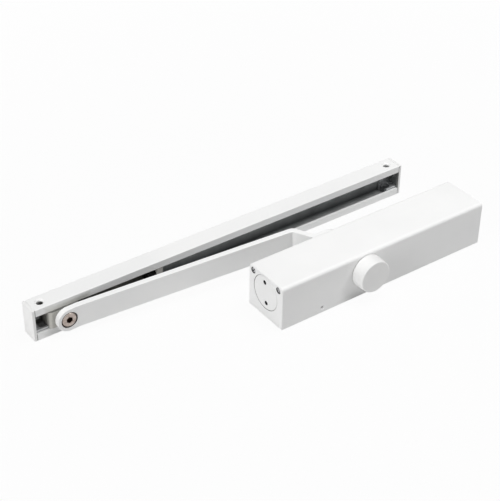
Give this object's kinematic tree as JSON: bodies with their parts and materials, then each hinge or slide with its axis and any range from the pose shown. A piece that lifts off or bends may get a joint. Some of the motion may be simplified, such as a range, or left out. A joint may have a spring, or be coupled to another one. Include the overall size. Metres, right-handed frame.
{
  "type": "slide rail door closer",
  "caption": "Surface door closer: block body with a spring, rack and pinion inside, a cranked arm on its spindle, and a slider running in a slotted C-shaped rail.",
  "frame": {"origin": "on the door face, under the middle of the closer body and of its mounting plate's hole pattern", "axes": "+X along the body and the rail from the valve end to the spring end, +Y along the spindle from the cap to the arm, +Z away from the door face"},
  "size_m": [0.445, 0.1505, 0.0475],
  "materials": {
    "coated_aluminium": "matte",
    "coated_steel": "satin",
    "white_plastic": "satin",
    "plated_steel": "satin",
    "dark_steel": "satin",
    "hardened_steel": "satin",
    "bronze": "satin",
    "grey_plastic": "matte",
    "black_rubber": "matte"
  },
  "bodies": {
    "closer": {"housing": "coated_aluminium", "mounting_plate": "plated_steel", "plate_locking_screws": "dark_steel", "valve_end_plug": "coated_aluminium", "valve_end_seal": "black_rubber", "spring_end_plug": "coated_aluminium", "spring_end_seal": "black_rubber", "rear_bearing": "hardened_steel", "front_bearing": "hardened_steel", "rear_shaft_seal": "black_rubber", "front_shaft_seal": "black_rubber", "rear_bearing_nut": "plated_steel", "front_bearing_nut": "plated_steel", "shaft_cap": "white_plastic", "closing_spring": "dark_steel"},
    "closing_valve": {"closing_valve": "dark_steel", "closing_valve_seal": "black_rubber"},
    "latching_valve": {"latching_valve": "dark_steel", "latching_valve_seal": "black_rubber"},
    "arm_and_spindle": {"spindle": "hardened_steel", "arm": "coated_steel", "arm_washer": "plated_steel", "arm_screw": "plated_steel"},
    "piston": {"piston": "hardened_steel", "check_ball": "hardened_steel", "check_retainer": "hardened_steel"},
    "power_adjuster": {"spring_adjuster": "dark_steel"},
    "spring_seat": {"spring_seat": "hardened_steel"},
    "slider": {"slider": "grey_plastic", "pivot_screw": "plated_steel", "pivot_bush": "bronze", "pivot_spacer": "grey_plastic"},
    "rail": {"rail": "coated_steel", "rail_end_cap_left": "white_plastic", "rail_end_cap_right": "white_plastic", "rail_bracket_left": "plated_steel", "rail_bracket_right": "plated_steel"},
    "stop": {"stop_block": "grey_plastic", "stop_buffer": "black_rubber", "stop_clamp_screw": "dark_steel"}
  },
  "joints": [
    {"name": "arm_swing", "type": "hinge", "parent": "closer", "child": "arm_and_spindle", "pos_m": [-0.025, 0, 0.028], "axis": [0, -1, 0], "range_deg": [0, 150], "stiffness_Nm_per_rad": 4, "springref_deg": -42.97},
    {"name": "piston_slide", "type": "slide", "parent": "closer", "child": "piston", "axis": [1, 0, 0], "range_m": [0, 0.02357], "deforming": ["closing_spring"]},
    {"name": "slider_pivot", "type": "hinge", "parent": "arm_and_spindle", "child": "slider", "pos_m": [-0.2878, 0.0898, 0.0175], "axis": [0, 1, 0], "continuous": true},
    {"name": "rail_slide", "type": "slide", "parent": "slider", "child": "rail", "axis": [-1, 0, 0], "range_m": [0, 0.0755]},
    {"name": "stop_adjust", "type": "slide", "parent": "rail", "child": "stop", "axis": [1, 0, 0], "range_m": [0, 0.283]},
    {"name": "closing_valve_turn", "type": "hinge", "parent": "closer", "child": "closing_valve", "pos_m": [-0.1242, -0.0195, 0.0425], "axis": [-1, 0, 0], "range_deg": [-360, 360]},
    {"name": "latching_valve_turn", "type": "hinge", "parent": "closer", "child": "latching_valve", "pos_m": [-0.1242, 0.0195, 0.0425], "axis": [-1, 0, 0], "range_deg": [-360, 360]},
    {"name": "power_adjust", "type": "hinge", "parent": "closer", "child": "power_adjuster", "pos_m": [0.1242, 0, 0.028], "axis": [-1, 0, 0], "range_deg": [0, 1800.5]},
    {"name": "spring_seat_slide", "type": "slide", "parent": "closer", "child": "spring_seat", "axis": [-1, 0, 0], "range_m": [0, 0.01]}
  ],
  "couplings": [
    {"joint": "piston_slide", "follows": "arm_swing", "m_per_rad": 0.009},
    {"joint": "power_adjust", "follows": "spring_seat_slide", "rad_per_m": 3141.6}
  ]
}
